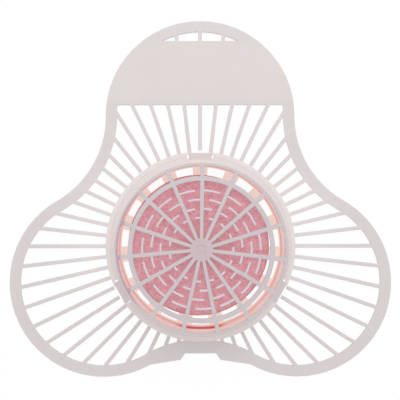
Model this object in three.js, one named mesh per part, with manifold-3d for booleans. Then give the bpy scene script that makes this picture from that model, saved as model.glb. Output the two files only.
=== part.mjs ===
// Deodorizer screen for a urinal: a flat three-lobed mat of radial ribs, a caged lid that
// snaps onto a ring in its middle, and a pressed scent block that lies loose in the cage.
// Millimetres, +Z up. The origin is on the cage's axis, at the mat's underside.
// +Y points to the lobe with the bare panel.
import * as THREE from 'three';
import { mergeVertices } from 'three/addons/utils/BufferGeometryUtils.js';
import Module from 'manifold-3d';

// The mat's outline: three equal lobes on an equal-sided triangle, joined by hollow waists.
const lobeRadius = 50.05;
const lobeSpacing = 102.4;
const waistRadius = 52.2;
const cageOffset = 10.3;
const rimWidth = 5.8;

// The mat is one flat moulding: its rim, ribs, panel and tab are equally thick.
const matHeight = 2.2;

// The ribs, from the ring to the rim.
const ribCount = 56;
const ribWidth = 1.95;

// The bare panel in the top lobe, with a small window left above it.
const panelStart = 5.5;
const panelWindow = 4.75;

// The tab on the bottom waist, and the notch in its edge.
const tabReach = 26.7;
const tabDrop = 4.85;
const notchDepth = 3.4;
const notchTopWidth = 16.4;
const notchMouthWidth = 21.2;

// The ring that takes the lid, and the floor inside it.
const ringWall = 2.9;
const ringHeight = 6;
const ringDraft = 0.4;
const floorThickness = 2.4;
const floorHubRadius = 14;
const floorWindowCount = 15;
const floorWindowAngle = 12.9;
const floorLedge = 1;

// The cage lid: a drum with a flange that lies inside the ring, and a grille on top. The
// drum's radius is its inner one at the top, and the other radii follow from it.
const cageHeight = 25;
const drumRadius = 42.2;
const drumWall = 1.5;
const drumDraft = 0.7;
const flangeReach = 2.7;
const flangeThickness = 1.6;
const grilleThickness = 2;
const grilleTurn = -0.75;
const spokeCount = 15;
const spokeInnerWidth = 1.7;
const spokeOuterWidth = 2.1;
const grilleRingInset = 5.3;
const grilleRingWidth = 2.3;
const hubRadius = 5.8;
const gateRadius = 2.4;
const gateDepth = 0.4;
const pipRadius = 0.7;

// The short arms that reach out from the spokes, in four rows.
const armRowCount = 4;
const armFirstInset = 4.85;
const armRowStep = 4.57;
const armWidth = 1;
const armThickness = 1.4;
const armGap = 2.6;

// The lid's three snap lugs, and the places that they take in the ring.
const lugCount = 3;
const lugWidth = 11.7;
const lugSetback = 1;
const lugRoot = 1;
const lugStep = 0.5;
const reliefWidth = 1.1;
const reliefLength = 1.8;
const shortRibGap = 1.6;

// The scent block, which lies on the floor a little off the cage's axis.
const blockSlack = 6.4;
const blockThickness = 18;
const blockChamfer = 1.2;
const blockShift = new THREE.Vector2(-1.3, 1.9);

// Clearances, and how finely round edges are cut.
const fitGap = 0.3;
const arcStep = 4;
const armArcStep = 8;
const smallArcStep = 12;
const overlap = 1;

// Places that follow from the sizes above.
const lobeTriangleRadius = lobeSpacing / Math.sqrt(3);
const waistCentreRadius = lobeTriangleRadius / 2
  + Math.sqrt((lobeRadius + waistRadius) ** 2 - (lobeSpacing / 2) ** 2);
const lobeHalfAngle = 150 - THREE.MathUtils.radToDeg(
  Math.acos(lobeSpacing / 2 / (lobeRadius + waistRadius)));
const outlineCentre = new THREE.Vector2(0, cageOffset);
const topLobe = new THREE.Vector2(0, cageOffset + lobeTriangleRadius);
const bottomWaist = new THREE.Vector2(0, cageOffset - waistCentreRadius);
const farAway = topLobe.y + lobeRadius + overlap;
const grilleUnderside = cageHeight - grilleThickness;
const grilleRingRadius = drumRadius - grilleRingInset;
const armFirstRadius = grilleRingRadius - grilleRingWidth - armFirstInset;
const drumFootRadius = drumRadius + drumDraft;
const flangeRadius = drumFootRadius + drumWall + flangeReach;
const flangeUnderside = ringHeight - flangeThickness;
const ringInner = flangeRadius + fitGap;
const ringRadius = ringInner + ringWall;
const lugStart = flangeRadius - lugRoot;
const lugReach = ringRadius - lugSetback;
const lugTop = ringHeight - lugStep;
const lugUnderside = flangeUnderside;
const blockRadius = drumRadius - blockSlack;
const ribPitch = 360 / ribCount;
const spokePitch = 360 / spokeCount;

const wasm = await Module();
wasm.setup();

// Shapes

function pointAt(centre, radius, degrees) {
  const angle = THREE.MathUtils.degToRad(degrees);
  return new THREE.Vector2(centre.x + radius * Math.cos(angle), centre.y + radius * Math.sin(angle));
}

// Points along an arc, from its first angle up to, but without, its last.
function arcPoints(centre, radius, from, to, step = arcStep) {
  const count = Math.max(1, Math.round(Math.abs(to - from) / step));
  const points = [];
  for (let i = 0; i < count; i += 1) {
    points.push(pointAt(centre, radius, from + (to - from) * i / count));
  }
  return points;
}

// The three-lobed outline, moved inwards by the inset. Lobes and waists meet in tangents.
function outlineShape(inset) {
  const waistHalfAngle = lobeHalfAngle - 60;
  const points = [];
  for (let side = 0; side < 3; side += 1) {
    const lobeAngle = 90 + 120 * side;
    const lobe = pointAt(outlineCentre, lobeTriangleRadius, lobeAngle);
    const waist = pointAt(outlineCentre, waistCentreRadius, lobeAngle + 60);
    const towardsMiddle = lobeAngle + 240;
    points.push(...arcPoints(
      lobe, lobeRadius - inset, lobeAngle - lobeHalfAngle, lobeAngle + lobeHalfAngle));
    points.push(...arcPoints(
      waist, waistRadius + inset, towardsMiddle + waistHalfAngle, towardsMiddle - waistHalfAngle));
  }
  return new THREE.Shape(points);
}

// Part of a flat ring, between two radii and two angles.
function sectorShape(innerRadius, outerRadius, from, to, step = arcStep) {
  const middle = new THREE.Vector2(0, 0);
  return new THREE.Shape([
    ...arcPoints(middle, outerRadius, from, to, step),
    pointAt(middle, outerRadius, to),
    ...arcPoints(middle, innerRadius, to, from, step),
    pointAt(middle, innerRadius, from),
  ]);
}

// Solids, and how they are joined and cut

function solidOf(geometry) {
  geometry.deleteAttribute('normal');
  geometry.deleteAttribute('uv');
  const merged = mergeVertices(geometry);
  return new wasm.Manifold(new wasm.Mesh({
    numProp: 3,
    vertProperties: Float32Array.from(merged.attributes.position.array),
    triVerts: Uint32Array.from(merged.index.array),
  }));
}

function geometryOf(solid) {
  const mesh = solid.getMesh();
  const geometry = new THREE.BufferGeometry();
  geometry.setAttribute('position', new THREE.BufferAttribute(mesh.vertProperties, 3));
  geometry.setIndex(new THREE.BufferAttribute(mesh.triVerts, 1));
  geometry.computeVertexNormals();
  return geometry;
}

function plate(shape, bottom, top) {
  const geometry = new THREE.ExtrudeGeometry(shape, { depth: top - bottom, bevelEnabled: false });
  geometry.translate(0, 0, bottom);
  return solidOf(geometry);
}

// A solid turned about the Z axis. Its profile is a closed loop of [radius, height] pairs.
function turned(profile, step = arcStep) {
  const points = profile.map(([radius, height]) => new THREE.Vector2(radius, height));
  const geometry = new THREE.LatheGeometry(points, Math.round(360 / step));
  geometry.rotateX(Math.PI / 2);
  return solidOf(geometry);
}

// A bar that lies along X from one distance to another, turned to its angle.
// Its width may change from its inner to its outer end.
function bar(from, to, innerWidth, outerWidth, bottom, top, degrees) {
  const shape = new THREE.Shape([
    new THREE.Vector2(from, -innerWidth / 2),
    new THREE.Vector2(to, -outerWidth / 2),
    new THREE.Vector2(to, outerWidth / 2),
    new THREE.Vector2(from, innerWidth / 2),
  ]);
  return plate(shape, bottom, top).rotate([0, 0, degrees]);
}

function join(solids) {
  return solids.reduce((whole, solid) => whole.add(solid));
}

function lugAngles() {
  return Array.from({ length: lugCount }, (_, i) => 90 + i * 360 / lugCount);
}

// The mat

function matRim() {
  const outside = plate(outlineShape(0), 0, matHeight);
  const inside = plate(outlineShape(rimWidth), -overlap, matHeight + overlap);
  return outside.subtract(inside);
}

// A rib that points at a lug stops short of the ring, so that the lug has room.
function ribInnerEnd(degrees) {
  const inFrontOfLug = lugAngles().some((lugAngle) => {
    const turn = THREE.MathUtils.degToRad(degrees - lugAngle);
    return Math.cos(turn) > 0 && Math.abs(ringRadius * Math.sin(turn)) < (lugWidth - ribWidth) / 2;
  });
  return inFrontOfLug ? lugReach + shortRibGap : ringInner + overlap;
}

function matRibs() {
  const ribs = [];
  for (let i = 0; i < ribCount; i += 1) {
    const degrees = 90 + i * ribPitch;
    const start = ribInnerEnd(degrees);
    ribs.push(bar(start, farAway, ribWidth, ribWidth, 0, matHeight, degrees));
  }
  return join(ribs);
}

function matPanel() {
  const bottomEdge = topLobe.y + panelStart;
  const topEdge = topLobe.y + lobeRadius - rimWidth - panelWindow;
  const shape = new THREE.Shape([
    new THREE.Vector2(-farAway, bottomEdge),
    new THREE.Vector2(farAway, bottomEdge),
    new THREE.Vector2(farAway, topEdge),
    new THREE.Vector2(-farAway, topEdge),
  ]);
  return plate(shape, 0, matHeight);
}

// The height at which an arc about the bottom waist's centre stands over a given x.
function overBottomWaist(radius, x) {
  return bottomWaist.y + Math.sqrt(radius ** 2 - x ** 2);
}

// The tab thickens the rim of the bottom waist outwards. Its edge runs straight to the notch.
function matTab() {
  const insideRim = waistRadius + rimWidth / 2;
  const mouth = notchMouthWidth / 2;
  const mouthEdge = bottomWaist.y + waistRadius - tabDrop;
  const right = [
    new THREE.Vector2(notchTopWidth / 2, mouthEdge + notchDepth),
    new THREE.Vector2(mouth, mouthEdge),
    new THREE.Vector2(tabReach, overBottomWaist(waistRadius, tabReach)),
    new THREE.Vector2(tabReach, overBottomWaist(insideRim, tabReach)),
    new THREE.Vector2(mouth, overBottomWaist(insideRim, mouth)),
  ];
  const left = right.map((point) => new THREE.Vector2(-point.x, point.y)).reverse();
  return plate(new THREE.Shape([...right, ...left]), 0, matHeight);
}

function floorAndRing() {
  const body = turned([
    [0, 0],
    [ringRadius, 0],
    [ringRadius - ringDraft, ringHeight],
    [ringInner, ringHeight],
    [ringInner, floorThickness],
    [0, floorThickness],
  ]);
  const windowOuter = drumFootRadius - floorLedge;
  const windows = [];
  for (let i = 0; i < floorWindowCount; i += 1) {
    const middle = 270 + i * 360 / floorWindowCount;
    const shape = sectorShape(
      floorHubRadius, windowOuter, middle - floorWindowAngle / 2, middle + floorWindowAngle / 2);
    windows.push(plate(shape, -overlap, floorThickness + overlap));
  }
  return body.subtract(join(windows));
}

// What each lug takes out of the ring: its seat, a straight cut in front of it, and a small
// slot at either side that lets the ring give when the lid snaps in.
function lugSeats() {
  const seatWidth = lugWidth + 2 * fitGap;
  const betweenRibs = lugWidth - 1.5 * ribWidth;
  const cuts = [];
  for (const degrees of lugAngles()) {
    cuts.push(bar(ringInner - overlap, ringRadius + overlap, seatWidth, seatWidth,
      lugUnderside - fitGap, ringHeight + overlap, degrees));
    cuts.push(bar(lugReach + fitGap / 2, lugReach + shortRibGap, betweenRibs, betweenRibs,
      -overlap, ringHeight + overlap, degrees));
    for (const side of [-1, 1]) {
      const slot = bar(ringInner, ringInner + reliefLength,
        reliefWidth, reliefWidth, -overlap, ringHeight + overlap, 0);
      cuts.push(slot.translate([0, side * (seatWidth + reliefWidth) / 2, 0]).rotate([0, 0, degrees]));
    }
  }
  return join(cuts);
}

function screenMat() {
  const trim = plate(outlineShape(rimWidth / 2), -overlap, ringHeight + overlap);
  const innerWork = join([matRibs(), matPanel()]).intersect(trim);
  return join([innerWork, matRim(), matTab(), floorAndRing()]).subtract(lugSeats());
}

// The cage lid is one moulding. It is kept as two nodes that touch, the drum and the grille on
// top of it, so that the cage stays hollow in simulation.

// The drum's inner radius at a height. It widens downwards by the mould's draft.
function drumInner(height) {
  return drumRadius + drumDraft * (cageHeight - height) / (cageHeight - floorThickness);
}

function drum() {
  return turned([
    [drumFootRadius, floorThickness],
    [drumFootRadius + drumWall, floorThickness],
    [drumInner(flangeUnderside) + drumWall, flangeUnderside],
    [flangeRadius, flangeUnderside],
    [flangeRadius, ringHeight],
    [drumInner(ringHeight) + drumWall, ringHeight],
    [drumInner(grilleUnderside) + drumWall, grilleUnderside],
    [drumInner(grilleUnderside), grilleUnderside],
    [drumFootRadius, floorThickness],
  ]);
}

function grilleRim() {
  return turned([
    [drumInner(grilleUnderside), grilleUnderside],
    [drumInner(grilleUnderside) + drumWall, grilleUnderside],
    [drumRadius + drumWall, cageHeight],
    [drumRadius, cageHeight],
    [drumInner(grilleUnderside), grilleUnderside],
  ]);
}

function spokeHalfWidth(radius) {
  const share = (radius - hubRadius) / (drumRadius - hubRadius);
  return (spokeInnerWidth + (spokeOuterWidth - spokeInnerWidth) * share) / 2;
}

function spokes() {
  const bars = [];
  for (let i = 0; i < spokeCount; i += 1) {
    const outerEnd = drumRadius + drumWall / 2;
    bars.push(bar(hubRadius - overlap, outerEnd,
      2 * spokeHalfWidth(hubRadius - overlap), 2 * spokeHalfWidth(outerEnd),
      grilleUnderside, cageHeight, 90 + grilleTurn + i * spokePitch));
  }
  return join(bars);
}

function grilleRing() {
  const innerRadius = grilleRingRadius - grilleRingWidth;
  return turned([
    [innerRadius, grilleUnderside],
    [grilleRingRadius, grilleUnderside],
    [grilleRingRadius, cageHeight],
    [innerRadius, cageHeight],
    [innerRadius, grilleUnderside],
  ]);
}

// A disc with a shallow dish in its top and a small pip in the dish's middle.
function hub() {
  const dishFloor = cageHeight - gateDepth;
  return turned([
    [0, grilleUnderside],
    [hubRadius, grilleUnderside],
    [hubRadius, cageHeight],
    [gateRadius, cageHeight],
    [gateRadius, dishFloor],
    [pipRadius, dishFloor],
    [pipRadius, cageHeight - gateDepth / 2],
    [0, cageHeight - gateDepth / 2],
  ], smallArcStep);
}

// In each sector the arms reach out in turn from one spoke and from the other, and each
// stops the same gap short of the far spoke.
function arms() {
  const pieces = [];
  for (let sector = 0; sector < spokeCount; sector += 1) {
    const lower = 90 + grilleTurn + sector * spokePitch;
    const upper = lower + spokePitch;
    for (let row = 0; row < armRowCount; row += 1) {
      const radius = armFirstRadius - row * armRowStep;
      const reach = THREE.MathUtils.radToDeg((spokeHalfWidth(radius) + armGap) / radius);
      const fromUpper = row % 2 === 0;
      const shape = sectorShape(radius - armWidth / 2, radius + armWidth / 2,
        fromUpper ? lower + reach : lower, fromUpper ? upper : upper - reach, armArcStep);
      pieces.push(plate(shape, cageHeight - armThickness, cageHeight));
    }
  }
  return join(pieces);
}

function lugs() {
  return join(lugAngles().map((degrees) => bar(
    lugStart - overlap, lugReach, lugWidth, lugWidth, lugUnderside, lugTop, degrees)));
}

// The flange is lowered where a lug starts, so that the lug's top is one flat step.
function lugSteps() {
  return join(lugAngles().map((degrees) => bar(
    lugStart, lugReach + overlap, lugWidth, lugWidth, lugTop, ringHeight + overlap, degrees)));
}

function cageLid() {
  return join([drum(), lugs()]).subtract(lugSteps());
}

function cageGrille() {
  return join([grilleRim(), spokes(), grilleRing(), hub(), arms()]);
}

// The scent block

function deodorizerBlock() {
  return turned([
    [0, 0],
    [blockRadius - blockChamfer, 0],
    [blockRadius, blockChamfer],
    [blockRadius, blockThickness - blockChamfer],
    [blockRadius - blockChamfer, blockThickness],
    [0, blockThickness],
  ]);
}

function addPiece(group, name, solid, color, roughness) {
  const material = new THREE.MeshStandardMaterial({ color, roughness, metalness: 0 });
  const mesh = new THREE.Mesh(geometryOf(solid), material);
  mesh.name = name;
  group.add(mesh);
  return mesh;
}

const screen = new THREE.Group();
addPiece(screen, 'screen_mat', screenMat(), 0xe1d9d6, 0.5);
addPiece(screen, 'cage_lid', cageLid(), 0xd2c6c9, 0.45);
addPiece(screen, 'cage_grille', cageGrille(), 0xd2c6c9, 0.45);
const block = addPiece(screen, 'deodorizer_block', deodorizerBlock(), 0xcd929b, 0.85);
block.position.set(blockShift.x, blockShift.y, floorThickness);

export default screen;
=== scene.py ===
# %% [markdown]
# This lesson builds a deodorizer screen for a urinal, as it lies on a pale table and is seen
# from straight above. It is two soft plastic mouldings, a flat three-lobed mat and a caged lid,
# with a pressed pink scent block between them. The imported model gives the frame: its sizes and
# places are settled, and each piece here is made where the frame says, with finer edges.

# %% Load the frame
import bpy
import math
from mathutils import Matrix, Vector


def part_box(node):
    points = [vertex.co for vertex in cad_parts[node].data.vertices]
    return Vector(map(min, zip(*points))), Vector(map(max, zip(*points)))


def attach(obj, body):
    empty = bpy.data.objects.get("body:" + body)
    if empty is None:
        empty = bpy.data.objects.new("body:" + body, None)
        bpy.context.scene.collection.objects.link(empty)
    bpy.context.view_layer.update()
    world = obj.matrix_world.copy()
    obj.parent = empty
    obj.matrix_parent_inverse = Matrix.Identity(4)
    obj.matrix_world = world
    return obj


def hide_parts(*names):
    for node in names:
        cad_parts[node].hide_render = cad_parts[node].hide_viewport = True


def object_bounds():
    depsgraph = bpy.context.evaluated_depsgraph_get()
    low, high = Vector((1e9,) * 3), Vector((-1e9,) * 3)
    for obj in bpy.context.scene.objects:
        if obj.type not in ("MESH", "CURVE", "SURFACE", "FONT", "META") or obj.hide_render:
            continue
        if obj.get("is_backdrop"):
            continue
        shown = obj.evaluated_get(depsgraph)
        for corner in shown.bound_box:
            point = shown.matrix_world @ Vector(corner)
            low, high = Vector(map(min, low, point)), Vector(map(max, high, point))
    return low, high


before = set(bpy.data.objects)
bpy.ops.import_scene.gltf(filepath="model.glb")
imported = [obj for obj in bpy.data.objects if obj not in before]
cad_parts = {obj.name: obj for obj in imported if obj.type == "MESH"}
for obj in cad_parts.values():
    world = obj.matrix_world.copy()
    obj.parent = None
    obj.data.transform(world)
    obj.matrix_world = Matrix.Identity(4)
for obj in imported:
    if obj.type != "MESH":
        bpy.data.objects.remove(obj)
cad_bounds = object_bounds()
block_low, block_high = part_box("deodorizer_block")
print("frame nodes:", sorted(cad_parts))

# %% [markdown]
# Sizes are easiest to read in millimetres, and Blender works in metres, so one factor turns
# one into the other. Colours are noted as they look on a screen, from 0 to 255, and a shader
# wants them linear, so a second helper does that.

# %% Units and colours
MM = 0.001


def srgb(red, green, blue):
    """A screen colour from 0 to 255 as a linear RGBA tuple."""
    def linear(value):
        share = value / 255
        return share / 12.92 if share <= 0.04045 else ((share + 0.055) / 1.055) ** 2.4
    return (linear(red), linear(green), linear(blue), 1.0)


def polar(radius, degrees, centre=(0.0, 0.0)):
    """A point in millimetres, from a centre, at a radius and an angle."""
    angle = math.radians(degrees)
    return (centre[0] + radius * math.cos(angle), centre[1] + radius * math.sin(angle))


# %% [markdown]
# The camera hangs 400 mm above the mat and looks straight down. It stands a little left of and
# above the cage's axis, which is why the cage's tall wall shows more at its lower right. Moving
# the camera itself gives that lean, and a small lens shift then puts the object back in the
# middle of the square picture.

# %% Camera
CAMERA_HEIGHT = 400 * MM
CAMERA_X = -9.9 * MM
CAMERA_Y = 32.1 * MM
CAMERA_ROLL = -0.1
FRAME_WIDTH = 213.4 * MM
FRAME_MIDDLE = (-0.07 * MM, 24.46 * MM)

bpy.ops.object.select_all(action="DESELECT")
bpy.ops.object.camera_add(location=(CAMERA_X, CAMERA_Y, CAMERA_HEIGHT),
                          rotation=(0, 0, math.radians(CAMERA_ROLL)))
camera = bpy.context.object
camera.name = "camera_above"
camera.data.sensor_width = 36
camera.data.lens = camera.data.sensor_width * CAMERA_HEIGHT / FRAME_WIDTH
camera.data.shift_x = (FRAME_MIDDLE[0] - CAMERA_X) / FRAME_WIDTH
camera.data.shift_y = (FRAME_MIDDLE[1] - CAMERA_Y) / FRAME_WIDTH
camera.data.clip_start = 0.01
bpy.context.scene.camera = camera
bpy.context.scene.view_settings.view_transform = "Standard"
print("lens:", round(camera.data.lens, 1), "mm")

# %% [markdown]
# The light is soft and nearly even, as on a light table: most of it comes from the whole sky,
# and the rest from one large lamp beyond the panel's lobe, so the object grows a little darker
# towards its notch. The lamps stay at a level where a colour renders about as it is written.
# White behind the object comes from what the camera sees of the world, not from more light.

# %% World and lamp
SKY_STRENGTH = 0.76
LAMP_POWER = 0.9
LAMP_SIZE = 0.5
LAMP_PLACE = Vector((0.03, 0.36, 0.45))
LAMP_TARGET = Vector((0.0, 0.02, 0.0))


def seen_directly(tree):
    """A value that is 1 for camera, glossy and transmission rays, and 0 for all others."""
    path = tree.nodes.new("ShaderNodeLightPath")
    first = tree.nodes.new("ShaderNodeMath")
    first.operation = "MAXIMUM"
    tree.links.new(path.outputs["Is Camera Ray"], first.inputs[0])
    tree.links.new(path.outputs["Is Glossy Ray"], first.inputs[1])
    both = tree.nodes.new("ShaderNodeMath")
    both.operation = "MAXIMUM"
    tree.links.new(first.outputs[0], both.inputs[0])
    tree.links.new(path.outputs["Is Transmission Ray"], both.inputs[1])
    return both.outputs[0]


world = bpy.data.worlds.new("pale_studio")
bpy.context.scene.world = world
world.use_nodes = True
tree = world.node_tree
tree.nodes.clear()
sky = tree.nodes.new("ShaderNodeBackground")
sky.inputs["Color"].default_value = (1.0, 0.985, 0.98, 1.0)
sky.inputs["Strength"].default_value = SKY_STRENGTH
white = tree.nodes.new("ShaderNodeBackground")
white.inputs["Color"].default_value = (1, 1, 1, 1)
white.inputs["Strength"].default_value = 1.0
mix = tree.nodes.new("ShaderNodeMixShader")
output = tree.nodes.new("ShaderNodeOutputWorld")
tree.links.new(seen_directly(tree), mix.inputs[0])
tree.links.new(sky.outputs[0], mix.inputs[1])
tree.links.new(white.outputs[0], mix.inputs[2])
tree.links.new(mix.outputs[0], output.inputs[0])

bpy.ops.object.light_add(type="AREA", location=LAMP_PLACE)
lamp = bpy.context.object
lamp.name = "soft_lamp"
lamp.data.energy = LAMP_POWER
lamp.data.size = LAMP_SIZE
lamp.rotation_euler = (LAMP_TARGET - LAMP_PLACE).to_track_quat("-Z", "Y").to_euler()
print("lamp at", tuple(round(v, 2) for v in LAMP_PLACE))

# %% [markdown]
# The table is one large plane just under the mat. To the camera it is almost pure white, with
# a share left for real light, so that a faint soft shadow stays on it. To every other ray it is
# plain pale paint, which throws light back up through the ribs and the cage's floor.

# %% Table
TABLE_GLOW = 0.93
TABLE_SHADE_SHARE = 0.08
TABLE_PAINT = 0.85
TABLE_SIZE = 4.0
TABLE_DROP = 0.15 * MM

bpy.ops.mesh.primitive_plane_add(size=TABLE_SIZE, location=(0, 0, -TABLE_DROP))
table = bpy.context.object
table.name = "pale_table"
table_paint = bpy.data.materials.new("pale_table_paint")
table_paint.use_nodes = True
tree = table_paint.node_tree
tree.nodes.clear()
glow = tree.nodes.new("ShaderNodeEmission")
glow.inputs["Color"].default_value = (1, 1, 1, 1)
glow.inputs["Strength"].default_value = TABLE_GLOW
shade = tree.nodes.new("ShaderNodeBsdfDiffuse")
shade.inputs["Color"].default_value = (TABLE_SHADE_SHARE,) * 3 + (1,)
lit = tree.nodes.new("ShaderNodeAddShader")
paint = tree.nodes.new("ShaderNodeBsdfDiffuse")
paint.inputs["Color"].default_value = (TABLE_PAINT,) * 3 + (1,)
choose = tree.nodes.new("ShaderNodeMixShader")
output = tree.nodes.new("ShaderNodeOutputMaterial")
tree.links.new(glow.outputs[0], lit.inputs[0])
tree.links.new(shade.outputs[0], lit.inputs[1])
tree.links.new(seen_directly(tree), choose.inputs[0])
tree.links.new(paint.outputs[0], choose.inputs[1])
tree.links.new(lit.outputs[0], choose.inputs[2])
tree.links.new(choose.outputs[0], output.inputs[0])
table.data.materials.append(table_paint)
table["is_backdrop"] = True

# %% [markdown]
# The mat's outline is six arcs: three lobes on an equal-sided triangle and three hollow waists
# that meet them in tangents. The same rule with an inset gives the rim's inner edge. Writing the
# arcs as a formula keeps both edges exactly parallel, which hand-placed points would not.

# %% The mat's outline
LOBE_RADIUS = 50.05
LOBE_SPACING = 102.4
WAIST_RADIUS = 52.2
CAGE_OFFSET = 10.3
RIM_WIDTH = 5.8
OUTLINE_STEP = 2.0
LOBE_DISTANCE = LOBE_SPACING / math.sqrt(3)
WAIST_DISTANCE = (LOBE_DISTANCE / 2
                  + math.sqrt((LOBE_RADIUS + WAIST_RADIUS) ** 2 - (LOBE_SPACING / 2) ** 2))
LOBE_HALF_ANGLE = 150 - math.degrees(math.acos(LOBE_SPACING / 2 / (LOBE_RADIUS + WAIST_RADIUS)))
OUTLINE_CENTRE = (0.0, CAGE_OFFSET)
TOP_LOBE = polar(LOBE_DISTANCE, 90, OUTLINE_CENTRE)
BOTTOM_WAIST = polar(WAIST_DISTANCE, 270, OUTLINE_CENTRE)


def arc(centre, radius, start, end, step=OUTLINE_STEP):
    """Points along an arc, with its first and without its last."""
    count = max(1, round(abs(end - start) / step))
    return [polar(radius, start + (end - start) * i / count, centre) for i in range(count)]


def mat_outline(inset):
    """The three-lobed outline, moved inwards by the inset."""
    waist_half = LOBE_HALF_ANGLE - 60
    points = []
    for lobe_angle in (90, 210, 330):
        lobe = polar(LOBE_DISTANCE, lobe_angle, OUTLINE_CENTRE)
        waist = polar(WAIST_DISTANCE, lobe_angle + 60, OUTLINE_CENTRE)
        points += arc(lobe, LOBE_RADIUS - inset,
                      lobe_angle - LOBE_HALF_ANGLE, lobe_angle + LOBE_HALF_ANGLE)
        points += arc(waist, WAIST_RADIUS + inset,
                      lobe_angle + 240 + waist_half, lobe_angle + 240 - waist_half)
    return points


print("outline points:", len(mat_outline(0)))

# %% [markdown]
# Ribs run from the ring in the middle to the rim, so each one ends where its own direction
# meets the rim's inner edge. Seen from the cage's axis that edge is met once in every
# direction, and a ray against a circle gives the distance.

# %% How far the rim is, in any direction


def ray_to_circle(degrees, centre, radius, far):
    """The distance at which a ray from the axis meets a circle, or None."""
    ahead = polar(1, degrees)
    along = ahead[0] * centre[0] + ahead[1] * centre[1]
    inside = along ** 2 - (centre[0] ** 2 + centre[1] ** 2) + radius ** 2
    if inside < 0:
        return None
    return along + math.sqrt(inside) if far else along - math.sqrt(inside)


def turned_by(angle, middle):
    """How far an angle is from another, from 0 to 180 degrees."""
    return abs((angle - middle + 180) % 360 - 180)


def rim_distance(degrees):
    """How far the rim's inner edge is from the cage's axis."""
    nearest = []
    for lobe_angle in (90, 210, 330):
        shapes = (
            (lobe_angle, LOBE_DISTANCE, LOBE_RADIUS - RIM_WIDTH, True,
             lobe_angle, LOBE_HALF_ANGLE),
            (lobe_angle + 60, WAIST_DISTANCE, WAIST_RADIUS + RIM_WIDTH, False,
             lobe_angle + 240, LOBE_HALF_ANGLE - 60),
        )
        for place, away, radius, far, faces, half_angle in shapes:
            centre = polar(away, place, OUTLINE_CENTRE)
            distance = ray_to_circle(degrees, centre, radius, far)
            if distance is None or distance <= 0:
                continue
            hit = polar(distance, degrees)
            angle = math.degrees(math.atan2(hit[1] - centre[1], hit[0] - centre[0]))
            if turned_by(angle, faces) <= half_angle + 0.01:
                nearest.append(distance)
    return min(nearest)


print("rim at 90 and 270 degrees:", round(rim_distance(90), 1), round(rim_distance(270), 1))

# %% [markdown]
# The mat is one flat moulding, so it is drawn as one flat curve: its outer edge, with the tab
# and its notch, and inside it the one big opening that runs in and out around all the ribs
# like the teeth of a comb. A filled curve takes its thickness from Extrude and its soft moulded
# edges from Bevel, and a negative offset gives back what the bevel adds to the outline.

# %% The mat's openings
RIB_COUNT = 56
RIB_WIDTH = 1.95
MAT_HEIGHT = 2.2
PANEL_START = TOP_LOBE[1] + 5.5
PANEL_TOP = TOP_LOBE[1] + LOBE_RADIUS - RIM_WIDTH - 4.75
RING_RADIUS = 50.3
RING_WALL = 2.9
RING_INNER = RING_RADIUS - RING_WALL
LUG_ANGLES = (90, 210, 330)
LUG_WIDTH = 11.7
LUG_REACH = 49.3
SHORT_RIB_START = LUG_REACH + 1.6
RIB_START = RING_INNER + 1
EDGE_STEP = 0.5
SEARCH_START, SEARCH_END, SEARCH_STEPS = 40.0, 200.0, 40
WINDOW_STEPS = 8
MAT_ROUNDING = 0.35


def opening_distance(degrees):
    """How far the big opening reaches: to the rim, or to the panel's straight edge."""
    reach = rim_distance(degrees)
    rise = math.sin(math.radians(degrees))
    return min(reach, PANEL_START / rise) if rise > 0.1 else reach


def beside(degrees, along, aside):
    """A point along a direction, and to its left."""
    ahead = polar(along, degrees)
    left = polar(aside, degrees + 90)
    return (ahead[0] + left[0], ahead[1] + left[1])


def rib_side_end(degrees, aside, reach):
    """Where one side of a rib meets the edge that a reach function gives, by halving."""
    near, far = SEARCH_START, SEARCH_END
    for _ in range(SEARCH_STEPS):
        middle = (near + far) / 2
        point = beside(degrees, middle, aside)
        angle = math.degrees(math.atan2(point[1], point[0]))
        if math.hypot(*point) < reach(angle):
            near = middle
        else:
            far = middle
    return beside(degrees, near, aside)


def rib_start(degrees):
    """A rib that points at a lug stops short of the ring."""
    for lug in LUG_ANGLES:
        aside = RING_RADIUS * math.sin(math.radians(degrees - lug))
        if turned_by(degrees, lug) < 90 and abs(aside) < (LUG_WIDTH - RIB_WIDTH) / 2:
            return SHORT_RIB_START
    return RIB_START


def big_opening():
    """The opening round all the ribs, and how many ribs it goes round."""
    points = []
    ribs = [90 + i * 360 / RIB_COUNT for i in range(RIB_COUNT)]
    shown = [rib for rib in ribs if rim_distance(rib) > RING_RADIUS + 0.5]
    for rib, following in zip(shown, shown[1:] + [shown[0] + 360]):
        start = rib_start(rib)
        points.append(rib_side_end(rib, -RIB_WIDTH / 2, opening_distance))
        points.append(beside(rib, start, -RIB_WIDTH / 2))
        points.append(beside(rib, start, RIB_WIDTH / 2))
        left = rib_side_end(rib, RIB_WIDTH / 2, opening_distance)
        points.append(left)
        right = rib_side_end(following, -RIB_WIDTH / 2, opening_distance)
        first = math.degrees(math.atan2(left[1], left[0])) % 360
        last = math.degrees(math.atan2(right[1], right[0])) % 360
        last += 360 if last < first else 0
        count = max(1, round((last - first) / EDGE_STEP))
        for i in range(1, count):
            angle = first + (last - first) * i / count
            points.append(polar(opening_distance(angle), angle))
    return points, len(shown)


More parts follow.
